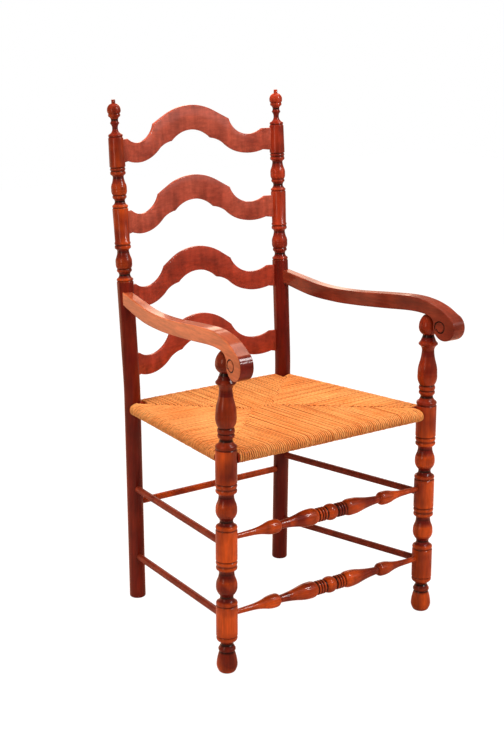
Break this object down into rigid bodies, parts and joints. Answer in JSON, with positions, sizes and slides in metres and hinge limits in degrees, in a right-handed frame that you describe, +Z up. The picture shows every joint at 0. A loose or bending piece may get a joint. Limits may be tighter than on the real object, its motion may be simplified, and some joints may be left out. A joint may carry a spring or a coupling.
{
  "type": "ladderback armchair",
  "caption": "Ladderback armchair with turned posts, bowed serpentine slats, scrolled arms, turned front stretchers and a woven rush seat.",
  "frame": {"origin": "on the floor, under the middle of the chair's outline", "axes": "+Z up, +Y from the front of the seat to the back, so the chair faces -Y, and +X to the right when seen from the front with +Y ahead"},
  "size_m": [0.5734, 0.5868, 1.0994],
  "materials": {
    "stained_wood": "red-brown stain under a gloss varnish",
    "rush": "twisted cord, low sheen",
    "stuffing": "matt"
  },
  "bodies": {
    "root": {"front_post_left": "stained_wood", "front_post_right": "stained_wood", "back_post_left": "stained_wood", "back_post_right": "stained_wood", "top_slat": "stained_wood", "upper_middle_slat": "stained_wood", "lower_middle_slat": "stained_wood", "bottom_slat": "stained_wood", "arm_left": "stained_wood", "arm_right": "stained_wood", "front_seat_rail": "stained_wood", "back_seat_rail": "stained_wood", "side_seat_rail_left": "stained_wood", "side_seat_rail_right": "stained_wood", "upper_front_stretcher": "stained_wood", "lower_front_stretcher": "stained_wood", "upper_side_stretcher_left": "stained_wood", "lower_side_stretcher_left": "stained_wood", "upper_side_stretcher_right": "stained_wood", "lower_side_stretcher_right": "stained_wood", "back_stretcher": "stained_wood", "rush_seat": "rush", "seat_stuffing": "stuffing"}
  },
  "joints": []
}
